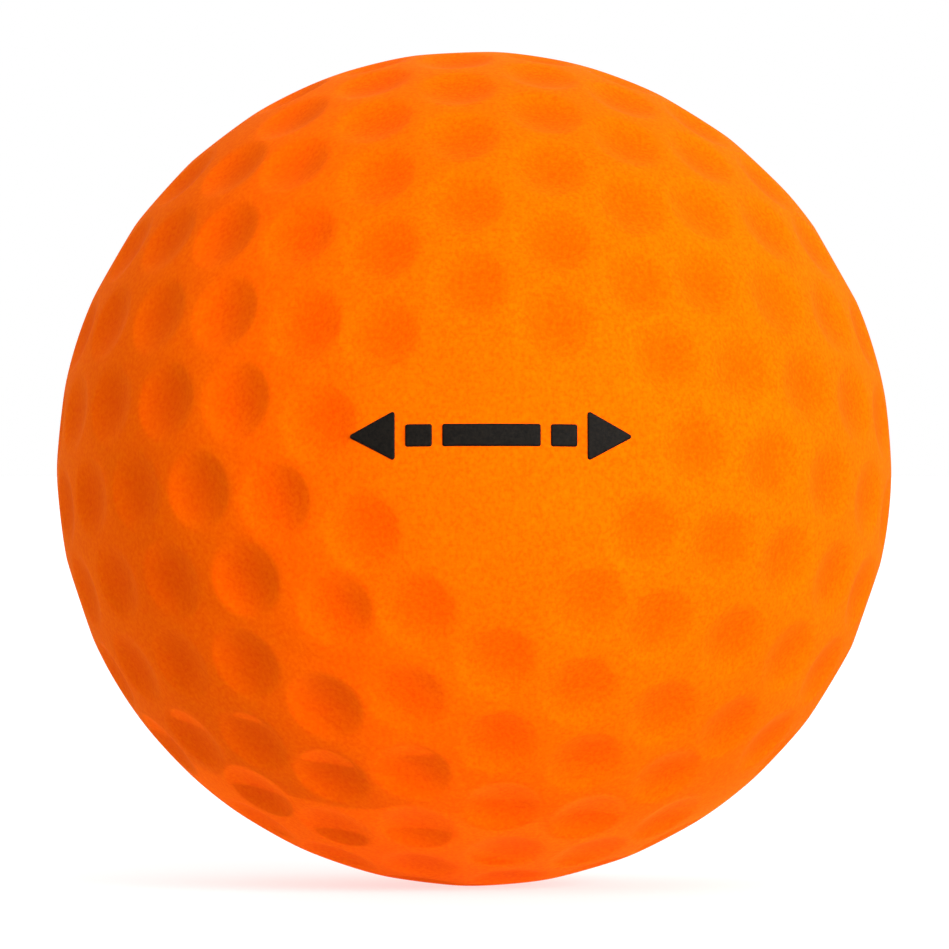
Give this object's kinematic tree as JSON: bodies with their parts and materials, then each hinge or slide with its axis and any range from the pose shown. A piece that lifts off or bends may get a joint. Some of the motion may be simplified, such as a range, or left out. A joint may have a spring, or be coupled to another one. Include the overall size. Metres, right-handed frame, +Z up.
{
  "type": "golf ball",
  "caption": "Golf ball with a dimpled moulded cover over a thin mantle and a solid core, and a printed arrow-ended alignment mark on a smooth panel.",
  "frame": {"origin": "the ball's centre", "axes": "-Y from the centre towards the side that carries the printed mark, +X to the right of the mark seen from that side, +Z up across the mark"},
  "size_m": [0.0426, 0.0427, 0.0426],
  "materials": {
    "core_rubber": "matt moulded rubber, grey with fine flecks of filler",
    "mantle_ionomer": "satin moulded ionomer, off-white",
    "cover_orange": "matt orange moulded cover with a very fine grain",
    "ink_black": "satin black pad-printed ink"
  },
  "bodies": {
    "root": {"core": "core_rubber", "mantle": "mantle_ionomer", "cover": "cover_orange", "centre_line": "ink_black", "left_dash": "ink_black", "right_dash": "ink_black", "left_arrowhead": "ink_black", "right_arrowhead": "ink_black"}
  },
  "joints": []
}
